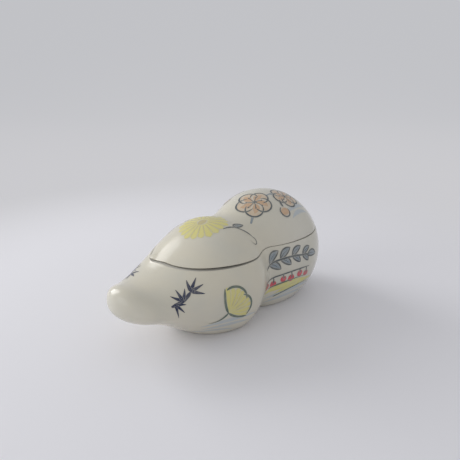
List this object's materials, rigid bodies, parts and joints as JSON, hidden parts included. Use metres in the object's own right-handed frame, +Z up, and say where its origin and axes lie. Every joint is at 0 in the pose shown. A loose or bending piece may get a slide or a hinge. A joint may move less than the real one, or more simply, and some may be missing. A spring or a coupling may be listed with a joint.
{
  "type": "gourd-shaped lidded porcelain box",
  "caption": "Small lidded porcelain box in the form of a gourd on its side, parted by a level seam; the upper half lifts off as a lid over a raised inner lip.",
  "frame": {"origin": "on the table under the middle of the gourd's length, width centred", "axes": "+X along the gourd from the stem's tip to the butt of the large lobe, +Y across it, +Z up from the foot to the lid"},
  "size_m": [0.1, 0.046, 0.0443],
  "materials": {
    "bowl_glaze": "glossy clear glaze over off-white porcelain, painted, bare foot rings and lip",
    "lid_glaze": "glossy clear glaze over off-white porcelain, painted"
  },
  "bodies": {
    "bowl": {"gourd_bowl": "bowl_glaze"},
    "lid": {"gourd_lid": "lid_glaze"}
  },
  "joints": [
    {"name": "lid_lift", "type": "slide", "parent": "bowl", "child": "lid", "axis": [0, 0, 1], "range_m": [0, 0.06]}
  ]
}
